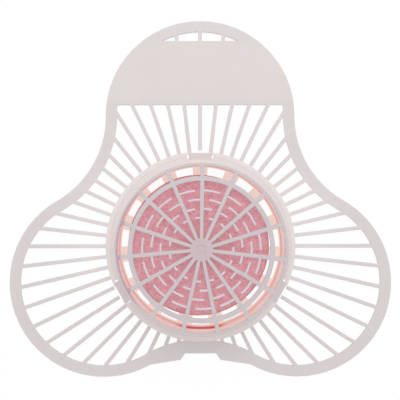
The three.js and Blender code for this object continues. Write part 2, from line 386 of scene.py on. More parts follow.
def panel_windows():
    """The four openings between the panel's top edge and the rim."""
    half = math.sqrt((LOBE_RADIUS - RIM_WIDTH) ** 2 - (PANEL_TOP - TOP_LOBE[1]) ** 2)
    end = math.degrees(math.atan2(PANEL_TOP, half))
    pitch = 360 / RIB_COUNT
    windows = []
    for right_rib, left_rib in ((None, 90 - pitch), (90 - pitch, 90), (90, 90 + pitch),
                                (90 + pitch, None)):
        corners = []
        if right_rib is None:
            first = end
        else:
            top = rib_side_end(right_rib, RIB_WIDTH / 2, rim_distance)
            first = math.degrees(math.atan2(top[1], top[0]))
            slant = math.tan(math.radians(right_rib))
            corners.append((top[0] - (top[1] - PANEL_TOP) / slant, PANEL_TOP))
        if left_rib is None:
            last = 180 - end
        else:
            top = rib_side_end(left_rib, -RIB_WIDTH / 2, rim_distance)
            last = math.degrees(math.atan2(top[1], top[0]))
            slant = math.tan(math.radians(left_rib))
            closing = (top[0] - (top[1] - PANEL_TOP) / slant, PANEL_TOP)
        angles = [first + (last - first) * i / WINDOW_STEPS for i in range(WINDOW_STEPS + 1)]
        edge = [polar(rim_distance(angle), angle) for angle in angles]
        windows.append(corners + edge + ([] if left_rib is None else [closing]))
    return windows


# %% [markdown]
# The tab thickens the bottom waist, and its edge runs straight to a notch with slanted sides.
# These few corners replace the middle of the waist's arc in the outer edge.

# %% The outer edge, with its tab
TAB_REACH = 26.7
TAB_DROP = 4.85
NOTCH_DEPTH = 3.4
NOTCH_TOP = 16.4 / 2
NOTCH_MOUTH = 21.2 / 2


def outer_edge():
    """The mat's outer edge, with the tab in place of the bottom waist's middle."""
    mouth_y = BOTTOM_WAIST[1] + WAIST_RADIUS - TAB_DROP
    tab_y = BOTTOM_WAIST[1] + math.sqrt(WAIST_RADIUS ** 2 - TAB_REACH ** 2)
    right_half = [(NOTCH_TOP, mouth_y + NOTCH_DEPTH), (NOTCH_MOUTH, mouth_y), (TAB_REACH, tab_y)]
    left_half = [(-x, y) for x, y in reversed(right_half)]
    in_tab = [abs(x) <= TAB_REACH and tab_y - 1 < y < 0 for x, y in mat_outline(0)]
    first = in_tab.index(True)
    kept = [point for point, hidden in zip(mat_outline(0), in_tab) if not hidden]
    return kept[:first] + left_half + right_half + kept[first:]


# %% [markdown]
# One helper turns flat outlines into a moulded plate. The curve is made a mesh, its loose parts
# are merged, and only its sharp turns are kept sharp in the shading.

# %% From outlines to a plate


def moulded_plate(name, outlines, bottom, top, rounding):
    """A flat plate in millimetres with rounded edges, from closed outlines."""
    bpy.ops.object.select_all(action="DESELECT")
    curve = bpy.data.curves.new(name, "CURVE")
    curve.dimensions = "2D"
    curve.fill_mode = "BOTH"
    for points in outlines:
        spline = curve.splines.new("POLY")
        spline.points.add(len(points) - 1)
        for point, (x, y) in zip(spline.points, points):
            point.co = (x * MM, y * MM, 0, 1)
        spline.use_cyclic_u = True
    curve.bevel_depth = rounding * MM
    curve.bevel_resolution = 2
    curve.offset = -rounding * MM
    curve.extrude = ((top - bottom) / 2 - rounding) * MM
    piece = bpy.data.objects.new(name, curve)
    bpy.context.collection.objects.link(piece)
    piece.location.z = (top + bottom) / 2 * MM
    bpy.context.view_layer.objects.active = piece
    piece.select_set(True)
    bpy.ops.object.convert(target="MESH")
    bpy.ops.object.transform_apply(location=True, rotation=True, scale=True)
    tidy_mesh(piece)
    return piece


def tidy_mesh(piece, merge=0.002):
    """Merges doubles, turns the faces outwards and keeps only sharp turns sharp."""
    bpy.ops.object.select_all(action="DESELECT")
    bpy.context.view_layer.objects.active = piece
    piece.select_set(True)
    bpy.ops.object.mode_set(mode="EDIT")
    bpy.ops.mesh.select_all(action="SELECT")
    bpy.ops.mesh.remove_doubles(threshold=merge * MM)
    bpy.ops.mesh.delete_loose(use_verts=True, use_edges=True, use_faces=False)
    bpy.ops.mesh.select_all(action="SELECT")
    bpy.ops.mesh.normals_make_consistent(inside=False)
    bpy.ops.object.mode_set(mode="OBJECT")
    bpy.ops.object.shade_smooth_by_angle(angle=math.radians(35))
    weighted = piece.modifiers.new("flat faces", "WEIGHTED_NORMAL")
    weighted.keep_sharp = True
    bpy.ops.object.modifier_apply(modifier=weighted.name)
    print(piece.name, len(piece.data.polygons), "faces")


opening, rib_total = big_opening()
mat_plate = moulded_plate("mat_plate", [outer_edge(), opening] + panel_windows(),
                          0.0, MAT_HEIGHT, MAT_ROUNDING)
print("ribs that show:", rib_total)

# %% [markdown]
# The ring and the drum are turned shapes. By hand one would draw half of the section, round
# its corners with a vertex bevel and spin it about the axis. A section drawn as edges alone
# leaves no face inside the wall.

# %% A section, spun about the cage's axis
SPIN_STEPS = 180


def spun(name, section, rounding, steps=SPIN_STEPS):
    """A turned solid from a closed section of (radius, height) points in millimetres."""
    bpy.ops.object.select_all(action="DESELECT")
    bpy.ops.mesh.primitive_circle_add(vertices=len(section), radius=MM, fill_type="NOTHING")
    piece = bpy.context.object
    piece.name = name
    for vertex, (radius, height) in zip(piece.data.vertices, section):
        vertex.co = (radius * MM, 0, height * MM)
    bpy.ops.object.mode_set(mode="EDIT")
    bpy.ops.mesh.select_all(action="SELECT")
    if rounding:
        bpy.ops.mesh.bevel(offset=rounding * MM, segments=3, affect="VERTICES", profile=0.5)
        bpy.ops.mesh.select_all(action="SELECT")
    bpy.ops.mesh.spin(steps=steps, angle=2 * math.pi, center=(0, 0, 0), axis=(0, 0, 1))
    bpy.ops.object.mode_set(mode="OBJECT")
    tidy_mesh(piece)
    return piece


RING_HEIGHT = 6.0
RING_DRAFT = 0.4
FLOOR_TOP = 2.4
EDGE_ROUNDING = 0.3
ring = spun("lid_ring", [
    (RING_INNER, 0.0), (RING_RADIUS, 0.0),
    (RING_RADIUS - RING_DRAFT, RING_HEIGHT), (RING_INNER, RING_HEIGHT),
], EDGE_ROUNDING)

# %% [markdown]
# Each of the lid's three lugs has a seat in the ring. In front of it the ring is cut straight,
# and a small slot at either side lets the ring give when the lid snaps in. The cutters are
# plain boxes, and Boolean modifiers take them away. Each slot's box reaches a little into the
# seat, because faces that lie exactly on each other would be cut differently from run to run.

# %% Seats for the lugs
FIT_GAP = 0.3
LUG_UNDERSIDE = 4.4
SLOT_WIDTH = 1.2
SLOT_LEAD = 1.0
SLOT_LENGTH = 1.3
SLOT_OVERLAP = 0.1
SEAT_PLAY = 0.06


def box_piece(name, low, high, degrees=0.0):
    """A box in millimetres between two corners, turned about the cage's axis."""
    bpy.ops.object.select_all(action="DESELECT")
    middle = [(a + b) / 2 * MM for a, b in zip(low, high)]
    size = [(b - a) * MM for a, b in zip(low, high)]
    bpy.ops.mesh.primitive_cube_add(size=1, location=middle, scale=size)
    bpy.ops.object.transform_apply(location=True, rotation=True, scale=True)
    piece = bpy.context.object
    piece.name = name
    piece.rotation_euler.z = math.radians(degrees)
    bpy.ops.object.transform_apply(location=True, rotation=True, scale=True)
    return piece


def joined(name, pieces):
    """Several meshes as one object."""
    bpy.ops.object.select_all(action="DESELECT")
    for piece in pieces:
        piece.select_set(True)
    bpy.context.view_layer.objects.active = pieces[0]
    bpy.ops.object.join()
    pieces[0].name = name
    return pieces[0]


def cut_away(piece, cutters):
    """Takes the cutters out of a piece and deletes them."""
    for cutter in cutters:
        bpy.ops.object.select_all(action="DESELECT")
        bpy.context.view_layer.objects.active = piece
        modifier = piece.modifiers.new("cut", "BOOLEAN")
        modifier.operation = "DIFFERENCE"
        modifier.solver = "EXACT"
        modifier.object = cutter
        bpy.ops.object.modifier_apply(modifier=modifier.name)
        bpy.data.objects.remove(cutter)


seat_half = LUG_WIDTH / 2 + SEAT_PLAY


def slot_cutters():
    """Boxes for the slots, which go through ring, flange and floor alike."""
    boxes = []
    for lug in LUG_ANGLES:
        for side in (-1, 1):
            near, far = sorted((side * (seat_half - SLOT_OVERLAP), side * (seat_half + SLOT_WIDTH)))
            boxes.append(box_piece("slot_cutter", (RING_INNER - SLOT_LEAD, near, -1),
                                   (RING_INNER + SLOT_LENGTH, far, RING_HEIGHT + 1), lug))
    return boxes


front_half = (LUG_WIDTH - 1.5 * RIB_WIDTH) / 2
cutters = []
for lug in LUG_ANGLES:
    cutters.append(box_piece("seat_cutter", (RING_INNER - 1, -seat_half, LUG_UNDERSIDE - FIT_GAP),
                             (RING_RADIUS + 1, seat_half, RING_HEIGHT + 1), lug))
    cutters.append(box_piece("front_cutter", (LUG_REACH + FIT_GAP / 2, -front_half, -1),
                             (SHORT_RIB_START, front_half, RING_HEIGHT + 1), lug))
cut_away(ring, cutters + slot_cutters())
tidy_mesh(ring)

# %% [markdown]
# The cage's floor is a disc with a ring of windows that the water runs through. Its bars widen
# outwards, because each window takes the same angle. It is another flat plate.

# %% The cage's floor
WINDOW_COUNT = 15
WINDOW_ANGLE = 12.9
FLOOR_HUB = 14.0
FLOOR_EDGE = RING_INNER + 0.6
DRUM_RADIUS = 42.2
DRUM_DRAFT = 0.7
DRUM_FOOT = DRUM_RADIUS + DRUM_DRAFT
WINDOW_OUTER = DRUM_FOOT - 1.0
FLOOR_LIFT = 0.03


def sector(inner, outer, start, end, step=OUTLINE_STEP):
    """Part of a flat ring between two radii and two angles."""
    middle = (0.0, 0.0)
    return (arc(middle, outer, start, end, step) + [polar(outer, end)]
            + arc(middle, inner, end, start, step) + [polar(inner, start)])


windows = []
for i in range(WINDOW_COUNT):
    middle = 270 + i * 360 / WINDOW_COUNT
    windows.append(sector(FLOOR_HUB, WINDOW_OUTER,
                          middle - WINDOW_ANGLE / 2, middle + WINDOW_ANGLE / 2))
floor_plate = moulded_plate("cage_floor", [arc((0, 0), FLOOR_EDGE, 0, 360)] + windows,
                            FLOOR_LIFT, FLOOR_TOP, EDGE_ROUNDING)
cut_away(floor_plate, slot_cutters())
tidy_mesh(floor_plate)

# %% [markdown]
# The lid's drum stands on that floor. Its wall leans in a little towards the top, so that the
# moulding leaves its tool, and near its foot a flange turns outwards and lies inside the ring.
# Soft plastic presses against the ring there, so the seam is a hairline and no open gap.

# %% The lid's drum and flange
CAGE_HEIGHT = 25.0
DRUM_WALL = 1.5
GRILLE_THICKNESS = 2.0
SEAM = 0.04
FLANGE_RADIUS = RING_INNER - SEAM
LUG_START = 46.1
LUG_TOP = 5.5
LUG_ROUNDING = 0.25
WALL_TOP = CAGE_HEIGHT - 0.6


def wall_inside(height):
    """The drum's inner radius at a height."""
    return DRUM_RADIUS + DRUM_DRAFT * (CAGE_HEIGHT - height) / (CAGE_HEIGHT - FLOOR_TOP)


drum = spun("drum", [
    (wall_inside(FLOOR_TOP), FLOOR_TOP),
    (wall_inside(FLOOR_TOP) + DRUM_WALL, FLOOR_TOP),
    (wall_inside(LUG_UNDERSIDE) + DRUM_WALL, LUG_UNDERSIDE),
    (FLANGE_RADIUS, LUG_UNDERSIDE),
    (FLANGE_RADIUS, RING_HEIGHT),
    (wall_inside(RING_HEIGHT) + DRUM_WALL, RING_HEIGHT),
    (wall_inside(WALL_TOP) + DRUM_WALL, WALL_TOP),
    (wall_inside(WALL_TOP), WALL_TOP),
], EDGE_ROUNDING)
half = LUG_WIDTH / 2
cut_away(drum, [box_piece("step_cutter", (LUG_START, -half, LUG_TOP - 0.1),
                          (LUG_REACH + 1, half, RING_HEIGHT + 1), lug) for lug in LUG_ANGLES])
cut_away(drum, slot_cutters())
tidy_mesh(drum)


def rounded_box(name, low, high, degrees, rounding):
    """A box with beveled edges, turned about the cage's axis."""
    piece = box_piece(name, low, high, degrees)
    bpy.ops.object.mode_set(mode="EDIT")
    bpy.ops.mesh.select_all(action="SELECT")
    bpy.ops.mesh.bevel(offset=rounding * MM, segments=3, affect="EDGES")
    bpy.ops.object.mode_set(mode="OBJECT")
    tidy_mesh(piece)
    return piece


lugs = [rounded_box("lug", (LUG_START - 0.3, -half, LUG_UNDERSIDE),
                    (LUG_REACH, half, LUG_TOP), lug, LUG_ROUNDING) for lug in LUG_ANGLES]

# %% [markdown]
# The grille is flat on top, so it is one more plate: a rim, an inner ring and fifteen spokes.
# In each sector short arms reach out from one spoke and then from the other, like the bones of
# a fish, and stop a little short of the far spoke. Going round a sector's edge, each arm is a
# step in and out of the opening.

# %% The grille's openings
SPOKE_COUNT = 15
SPOKE_TURN = -0.75
SPOKE_PITCH = 360 / SPOKE_COUNT
SPOKE_INNER_WIDTH = 1.7
SPOKE_OUTER_WIDTH = 2.1
HUB_RADIUS = 5.8
GRILLE_RING = 36.9
GRILLE_RING_INNER = GRILLE_RING - 2.3
ARM_ROWS = 4
ARM_FIRST = 29.75
ARM_STEP = 4.57
ARM_WIDTH = 1.0
ARM_GAP = 2.6
ARM_ARC_STEP = 3.0
HUB_ARC_STEP = 4.0
OUTER_OPENING = 39.5


def spoke_half(radius):
    """Half of a spoke's width at a radius."""
    share = (radius - HUB_RADIUS) / (DRUM_RADIUS - HUB_RADIUS)
    return (SPOKE_INNER_WIDTH + (SPOKE_OUTER_WIDTH - SPOKE_INNER_WIDTH) * share) / 2


def spoke_side(radius):
    """The angle between a spoke's middle and its side at a radius."""
    return math.degrees(math.asin(spoke_half(radius) / radius))


def sector_with_arms(lower):
    """A sector's opening between two spokes, with its arms left standing."""
    upper = lower + SPOKE_PITCH
    rows = [ARM_FIRST - i * ARM_STEP for i in range(ARM_ROWS)]
    points = [polar(HUB_RADIUS, lower + spoke_side(HUB_RADIUS))]
    for radius in (rows[3], rows[1]):
        near, far = radius - ARM_WIDTH / 2, radius + ARM_WIDTH / 2
        reach = math.degrees((spoke_half(radius) + ARM_GAP) / radius)
        points += arc((0, 0), near, lower + spoke_side(near), upper - reach, ARM_ARC_STEP)
        points += [polar(near, upper - reach)]
        points += arc((0, 0), far, upper - reach, lower + spoke_side(far), ARM_ARC_STEP)
        points += [polar(far, lower + spoke_side(far))]
    ring_side = spoke_side(GRILLE_RING_INNER)
    points += arc((0, 0), GRILLE_RING_INNER, lower + ring_side, upper - ring_side)
    points += [polar(GRILLE_RING_INNER, upper - ring_side)]
    for radius in (rows[0], rows[2]):
        near, far = radius - ARM_WIDTH / 2, radius + ARM_WIDTH / 2
        reach = math.degrees((spoke_half(radius) + ARM_GAP) / radius)
        points += arc((0, 0), far, upper - spoke_side(far), lower + reach, ARM_ARC_STEP)
        points += [polar(far, lower + reach)]
        points += arc((0, 0), near, lower + reach, upper - spoke_side(near), ARM_ARC_STEP)
        points += [polar(near, upper - spoke_side(near))]
    hub_side = spoke_side(HUB_RADIUS)
    points += arc((0, 0), HUB_RADIUS, upper - hub_side, lower + hub_side, HUB_ARC_STEP)
    return points


GATE_RADIUS = 2.4
GATE_DEPTH = 0.4
PIP_RADIUS = 0.7
grille_edges = [arc((0, 0), DRUM_RADIUS + DRUM_WALL, 0, 360), arc((0, 0), GATE_RADIUS, 0, 360, 12)]
for i in range(SPOKE_COUNT):
    spoke = 90 + SPOKE_TURN + i * SPOKE_PITCH
    grille_edges.append(sector(GRILLE_RING, DRUM_RADIUS, spoke + spoke_side(OUTER_OPENING),
                               spoke + SPOKE_PITCH - spoke_side(OUTER_OPENING)))
    grille_edges.append(sector_with_arms(spoke))
grille = moulded_plate("grille", grille_edges, CAGE_HEIGHT - GRILLE_THICKNESS, CAGE_HEIGHT,
                       EDGE_ROUNDING)

# %% [markdown]
# In the middle of the hub the plastic was fed into the mould. That leaves a shallow dish with
# a small pip, so a turned plug closes the plate's middle hole a little below its top.

# %% The gate mark
dish = CAGE_HEIGHT - GATE_DEPTH
PLUG_RADIUS = GATE_RADIUS + 0.6
PLUG_THICKNESS = 1.4
PIP_HEIGHT = 0.25
gate_plug = spun("gate_plug", [
    (0.0, dish - PLUG_THICKNESS), (PLUG_RADIUS, dish - PLUG_THICKNESS), (PLUG_RADIUS, dish),
    (PIP_RADIUS, dish), (PIP_RADIUS, dish + PIP_HEIGHT), (0.0, dish + PIP_HEIGHT),
], 0.08, 36)

# %% [markdown]
# The scent block is powder pressed in a die: a plain disc with a narrow slanted edge. Pressed
# powder is never quite flat, so after the spin its surface is moved in and out by a fraction
# of a millimetre with a cloud texture.

# %% The scent block
BLOCK_RADIUS = (block_high[0] - block_low[0]) / 2 / MM
BLOCK_BOTTOM = block_low[2] / MM
BLOCK_TOP = block_high[2] / MM
BLOCK_CHAMFER = 1.2
BLOCK_MIDDLE = ((block_low[0] + block_high[0]) / 2, (block_low[1] + block_high[1]) / 2, 0)
ROUGHNESS_DEPTH = 0.22
TOP_STEPS, SIDE_STEPS, TURN_STEPS = 40, 16, 240


def block_section():
    """Half of the block's section, with enough points for the rough surface."""
    inner = BLOCK_RADIUS - BLOCK_CHAMFER
    points = [(inner * i / TOP_STEPS, BLOCK_BOTTOM) for i in range(TOP_STEPS)]
    points += [(inner, BLOCK_BOTTOM), (BLOCK_RADIUS, BLOCK_BOTTOM + BLOCK_CHAMFER)]
    rise = BLOCK_TOP - BLOCK_BOTTOM - 2 * BLOCK_CHAMFER
    points += [(BLOCK_RADIUS, BLOCK_BOTTOM + BLOCK_CHAMFER + rise * i / SIDE_STEPS)
               for i in range(1, SIDE_STEPS + 1)]
    points += [(inner * (1 - i / TOP_STEPS), BLOCK_TOP) for i in range(TOP_STEPS + 1)]
    return points


block = spun("scent_block", block_section(), 0.0, TURN_STEPS)
bpy.ops.object.select_all(action="DESELECT")
block.select_set(True)
bpy.context.view_layer.objects.active = block
block.location = BLOCK_MIDDLE
bpy.ops.object.transform_apply(location=True, rotation=True, scale=True)
clouds = bpy.data.textures.new("pressed_powder", "CLOUDS")
clouds.noise_scale = 1.6 * MM
clouds.noise_depth = 3
modifier = block.modifiers.new("powder", "DISPLACE")
modifier.texture = clouds
modifier.texture_coords = "LOCAL"
modifier.strength = ROUGHNESS_DEPTH * MM
modifier.mid_level = 1.0
bpy.ops.object.modifier_apply(modifier=modifier.name)
print("block faces:", len(block.data.polygons))

# %% [markdown]
# Now the pieces that came out of one mould are joined: plate, ring and floor are the mat, and
# drum, lugs, grille and gate are the lid. Each takes the place of its plain model and rides with
# the one body.

# %% Three pieces, as on the real object
mat_piece = joined("soft_mat", [mat_plate, ring, floor_plate])
lid_piece = joined("snap_lid", [drum, grille, gate_plug] + lugs)
LID_NODES = ("cage_lid", "cage_grille")
for piece, nodes, slot in ((mat_piece, ("screen_mat",), "mat_plastic"),
                           (lid_piece, LID_NODES, "lid_plastic"),
                           (block, ("deodorizer_block",), "scent_block")):
    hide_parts(*nodes)
    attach(piece, "root")
    print(piece.name, "stands for", *nodes)

# %% [markdown]
# All finishes are made of a few small steps: sums, smooth masks and mixes. A helper for each
# keeps the node trees below as short as the thought behind them.

# %% Small steps for node trees


def put(tree, socket, value):
    """Links a socket, or sets its value."""
    if isinstance(value, bpy.types.NodeSocket):
        tree.links.new(value, socket)
    elif value is not None:
        socket.default_value = value


def sums(tree, operation, first, second=None):
    """One step of arithmetic."""
    node = tree.nodes.new("ShaderNodeMath")
    node.operation = operation
    put(tree, node.inputs[0], first)
    put(tree, node.inputs[1], second)
    return node.outputs[0]


def mask(tree, value, start, end, low=0.0, high=1.0):
    """Rises smoothly from low to high while the value goes from start to end."""
    node = tree.nodes.new("ShaderNodeMapRange")
    node.interpolation_type = "SMOOTHSTEP"
    put(tree, node.inputs["Value"], value)
    for name, number in (("From Min", start), ("From Max", end), ("To Min", low), ("To Max", high)):
        node.inputs[name].default_value = number
    return node.outputs["Result"]


def blend(tree, factor, first, second, mode="MIX"):
    """Mixes two colours."""
    node = tree.nodes.new("ShaderNodeMix")
    node.data_type = "RGBA"
    node.blend_type = mode
    put(tree, node.inputs["Factor"], factor)
    put(tree, node.inputs[6], first)
    put(tree, node.inputs[7], second)
    return node.outputs[2]


def scaled(tree, colour, factor):
    """A colour made brighter or darker."""
    node = tree.nodes.new("ShaderNodeVectorMath")
    node.operation = "SCALE"
    put(tree, node.inputs[0], colour)
    put(tree, node.inputs["Scale"], factor)
    return node.outputs[0]


def noise(tree, vector, scale, detail=3.0):
    """Cloudy noise, with so many clouds to a metre."""
    node = tree.nodes.new("ShaderNodeTexNoise")
    put(tree, node.inputs["Vector"], vector)
    node.inputs["Scale"].default_value = scale
    node.inputs["Detail"].default_value = detail
    return node.outputs["Fac"]


def coordinates_of(tree):
    """The object's own coordinates and normal."""
    return tree.nodes.new("ShaderNodeTexCoord")


def new_group(name, inputs, outputs):
    """A node group with its sockets, and its input and output nodes."""
    group = bpy.data.node_groups.new(name, "ShaderNodeTree")
    for label, kind in inputs:
        group.interface.new_socket(label, in_out="INPUT", socket_type=kind)
    for label, kind in outputs:
        group.interface.new_socket(label, in_out="OUTPUT", socket_type=kind)
    return group, group.nodes.new("NodeGroupInput"), group.nodes.new("NodeGroupOutput")


FLOAT = "NodeSocketFloat"
COLOUR = "NodeSocketColor"
VECTOR = "NodeSocketVector"

# %% [markdown]
# Stains and tints follow the object's own shape, so they are placed by how far a spot is from
# the cage's axis, how high it is, and in which direction it lies.

# %% A group for a spot's place
place_group, group_in, group_out = new_group(
    "place_on_object", [], [("Point", VECTOR), ("Radius", FLOAT), ("Height", FLOAT),
                            ("Angle", FLOAT), ("Across", FLOAT)])
coordinates = coordinates_of(place_group)
parts = place_group.nodes.new("ShaderNodeSeparateXYZ")
place_group.links.new(coordinates.outputs["Object"], parts.inputs[0])
x_part, y_part, z_part = parts.outputs
squares = sums(place_group, "ADD", sums(place_group, "MULTIPLY", x_part, x_part),
               sums(place_group, "MULTIPLY", y_part, y_part))
put(place_group, group_out.inputs["Point"], coordinates.outputs["Object"])
put(place_group, group_out.inputs["Radius"],
    sums(place_group, "MULTIPLY", sums(place_group, "SQRT", squares), 1000.0))
put(place_group, group_out.inputs["Height"], sums(place_group, "MULTIPLY", z_part, 1000.0))
put(place_group, group_out.inputs["Angle"],
    sums(place_group, "MULTIPLY", sums(place_group, "ARCTAN2", y_part, x_part), 180 / math.pi))
put(place_group, group_out.inputs["Across"], sums(place_group, "MULTIPLY", y_part, 1000.0))


def use_group(tree, group, **values):
    """Places a group in a tree and sets or links its inputs."""
    node = tree.nodes.new("ShaderNodeGroup")
    node.node_tree = group
    for label, value in values.items():
        put(tree, node.inputs[label], value)
    return node


# %% [markdown]
# Moulded soft plastic isn't one even tone: filler and colour swirl a little as it flows, and
# the satin surface of the mould leaves a very fine grain that softens every reflection. Thin
# plastic on a white table also passes light on from behind, so that its nooks never go dark.
# A share of the colour is therefore given off as a painted glow, and only the rest is left to
# the lamps. Upright faces and rounded edges, where the plastic is seen in its depth, get
# painted shade and a larger share of painted glow, and look greyer.

# %% A group for the moulded skin
EDGE_SHADE = 0.15
EDGE_GLOW = 0.55

skin_group, group_in, group_out = new_group(
    "moulded_skin", [("Color", COLOUR), ("Swirl", FLOAT), ("Grain", FLOAT), ("Through", FLOAT)],
    [("Color", COLOUR), ("Glow", COLOUR), ("Roughness", FLOAT), ("Normal", VECTOR)])
here = use_group(skin_group, place_group)
wide = noise(skin_group, here.outputs["Point"], 45.0, 2.0)
fine = noise(skin_group, here.outputs["Point"], 520.0, 3.0)
both = sums(skin_group, "ADD", sums(skin_group, "SUBTRACT", wide, 0.5),
            sums(skin_group, "MULTIPLY", sums(skin_group, "SUBTRACT", fine, 0.5), 0.7))
tone = sums(skin_group, "ADD", sums(skin_group, "MULTIPLY", both, group_in.outputs["Swirl"]), 1.0)
own_normal = skin_group.nodes.new("ShaderNodeSeparateXYZ")
put(skin_group, own_normal.inputs[0], coordinates_of(skin_group).outputs["Normal"])
upward = sums(skin_group, "ABSOLUTE", own_normal.outputs[2])
# Painted shade and painted glow on upright faces and rounded edges.
on_edge = mask(skin_group, upward, 0.25, 0.95, 1.0, 0.0)
tone = sums(skin_group, "MULTIPLY", tone,
            sums(skin_group, "SUBTRACT", 1.0, sums(skin_group, "MULTIPLY", on_edge, EDGE_SHADE)))
tinted = scaled(skin_group, group_in.outputs["Color"], tone)
through = sums(skin_group, "MAXIMUM", group_in.outputs["Through"],
               sums(skin_group, "MULTIPLY", on_edge, EDGE_GLOW))
put(skin_group, group_out.inputs["Glow"], scaled(skin_group, tinted, through))
kept = sums(skin_group, "SUBTRACT", 1.0, through)
put(skin_group, group_out.inputs["Color"], scaled(skin_group, tinted, kept))
put(skin_group, group_out.inputs["Roughness"], mask(skin_group, fine, 0.3, 0.7, 0.44, 0.56))
bump = skin_group.nodes.new("ShaderNodeBump")
bump.inputs["Distance"].default_value = 0.05 * MM
put(skin_group, bump.inputs["Strength"], group_in.outputs["Grain"])
put(skin_group, bump.inputs["Height"], noise(skin_group, here.outputs["Point"], 1900.0, 4.0))
put(skin_group, group_out.inputs["Normal"], bump.outputs[0])


def start_material(name):
    """An empty material with a Principled shader."""
    material = bpy.data.materials.new(name)
    material.use_nodes = True
    material.node_tree.nodes.clear()
    shader = material.node_tree.nodes.new("ShaderNodeBsdfPrincipled")
    ending = material.node_tree.nodes.new("ShaderNodeOutputMaterial")
    material.node_tree.links.new(shader.outputs[0], ending.inputs[0])
    return material, material.node_tree, shader


def wear_skin(tree, skin, shader):
    """Links what a skin group puts out to the shader."""
    for label, socket in (("Color", "Base Color"), ("Glow", "Emission Color"),
                          ("Roughness", "Roughness"), ("Normal", "Normal")):
        tree.links.new(skin.outputs[label], shader.inputs[socket])
    shader.inputs["Emission Strength"].default_value = 1.0


def dress(piece, material):
    """Gives a piece this one material."""
    piece.data.materials.clear()
    piece.data.materials.append(material)


# %% [markdown]
# The mat is a warm off-white, a touch lighter in the panel and the ring, and in the ribs at the
# ring's sides. Inside the ring the floor is painted peach, with uneven edges, as painted pink
# light thrown back from the block, and a red line lies where the floor meets the drum's foot.
# All of the mat gets a little painted glow, and the low parts inside the ring a much stronger one.

# %% The mat's finish
MAT_TONE = srgb(222, 215, 216)
RIB_TONE = srgb(231, 224, 225)
PANEL_TONE = srgb(225, 218, 215)
RING_TONE = srgb(238, 230, 228)
PEACH_TONE = srgb(255, 235, 225)
FOOT_TONE = srgb(222, 120, 108)

mat_tones_and_light, group_in, group_out = new_group("mat_tones", [], [("Color", COLOUR),
                                                             ("Through", FLOAT)])
here = use_group(mat_tones_and_light, place_group)
ragged = sums(mat_tones_and_light, "MULTIPLY", sums(mat_tones_and_light, "SUBTRACT", noise(
    mat_tones_and_light, here.outputs["Point"], 120.0), 0.5), 6.0)
near_ring = sums(mat_tones_and_light, "MULTIPLY",
                 mask(mat_tones_and_light, here.outputs["Radius"], 55.0, 85.0, 1.0, 0.0),
                 mask(mat_tones_and_light, here.outputs["Across"], -48.0, -5.0))
near_ring = sums(mat_tones_and_light, "MULTIPLY", near_ring,
                 mask(mat_tones_and_light, here.outputs["Across"], 15.0, 50.0, 1.0, 0.3))
colour = blend(mat_tones_and_light, near_ring, MAT_TONE, RIB_TONE)
panel_low = mask(mat_tones_and_light, here.outputs["Across"], PANEL_START - 1, PANEL_START + 5)
panel_high = mask(mat_tones_and_light, here.outputs["Across"], PANEL_TOP - 4, PANEL_TOP + 2, 1.0, 0.0)
colour = blend(mat_tones_and_light, sums(mat_tones_and_light, "MULTIPLY", panel_low, panel_high), colour, PANEL_TONE)
raised = mask(mat_tones_and_light, here.outputs["Height"], MAT_HEIGHT + 0.3, MAT_HEIGHT + 1.2)
colour = blend(mat_tones_and_light, raised, colour, RING_TONE)
# Painted pink light from the block: peach on the floor inside the ring.
pink_light_mask = mask(mat_tones_and_light, sums(mat_tones_and_light, "ADD", here.outputs["Radius"], ragged), 43.0, 47.0, 1, 0)
colour = blend(mat_tones_and_light, pink_light_mask, colour, PEACH_TONE)
foot_line = mask(mat_tones_and_light, here.outputs["Radius"], DRUM_FOOT - 0.7, DRUM_FOOT - 0.3, 0.0, 0.6)
colour = blend(mat_tones_and_light, sums(mat_tones_and_light, "MULTIPLY", pink_light_mask, foot_line), colour, FOOT_TONE)
put(mat_tones_and_light, group_out.inputs["Color"], colour)
# Painted glow: strong inside the ring below its top, faint on all the rest of the mat.
inside_ring_glow = mask(mat_tones_and_light, here.outputs["Radius"], RING_RADIUS - 0.9, RING_RADIUS - 0.5, 0.5, 0.0)
below_top = mask(mat_tones_and_light, here.outputs["Height"], RING_HEIGHT - 0.5, RING_HEIGHT - 0.2, 1.0, 0.0)
glow = sums(mat_tones_and_light, "ADD", sums(mat_tones_and_light, "MULTIPLY", inside_ring_glow, below_top), 0.12)
put(mat_tones_and_light, group_out.inputs["Through"], glow)

mat_material, tree, shader = start_material("soft_mat_plastic")
tones = use_group(tree, mat_tones_and_light)
skin = use_group(tree, skin_group, Color=tones.outputs["Color"], Swirl=0.06, Grain=0.35,
                 Through=tones.outputs["Through"])
wear_skin(tree, skin, shader)
shader.inputs["Subsurface Weight"].default_value = 0.25
shader.inputs["Subsurface Radius"].default_value = (1.0, 0.7, 0.6)
shader.inputs["Subsurface Scale"].default_value = 1.2 * MM
dress(mat_piece, mat_material)

# %% [markdown]
# The lid is moulded from a cooler batch, so its grille looks faintly lilac, with paler arms.
# The inside of the drum is painted peach, most strongly low down, as painted pink light thrown
# back from the block, and it gets a strong painted glow. A red line runs low round the inside,
# strongest at the notch's side and faint all round. At the rim on the left, by the ends of the
# spokes, the lid is a darker pink as well. A pale warm patch of painted light lies on the
# flange by the top lug.

# %% The lid's finish
GRILLE_TONE = srgb(209, 202, 205)
ARM_TONE = srgb(221, 214, 218)
HUB_TONE = srgb(208, 191, 196)
LEFT_RIM_TONE = srgb(186, 156, 170)
FLANGE_TONE = srgb(235, 226, 225)
LUG_LIGHT_TONE = srgb(240, 228, 215)
LUG_TONE = srgb(225, 215, 216)
WALL_TONE = srgb(254, 221, 215)
RED_TONE = srgb(208, 18, 28)
RED_FOOT, RED_HEAD = 2.0, 10.3

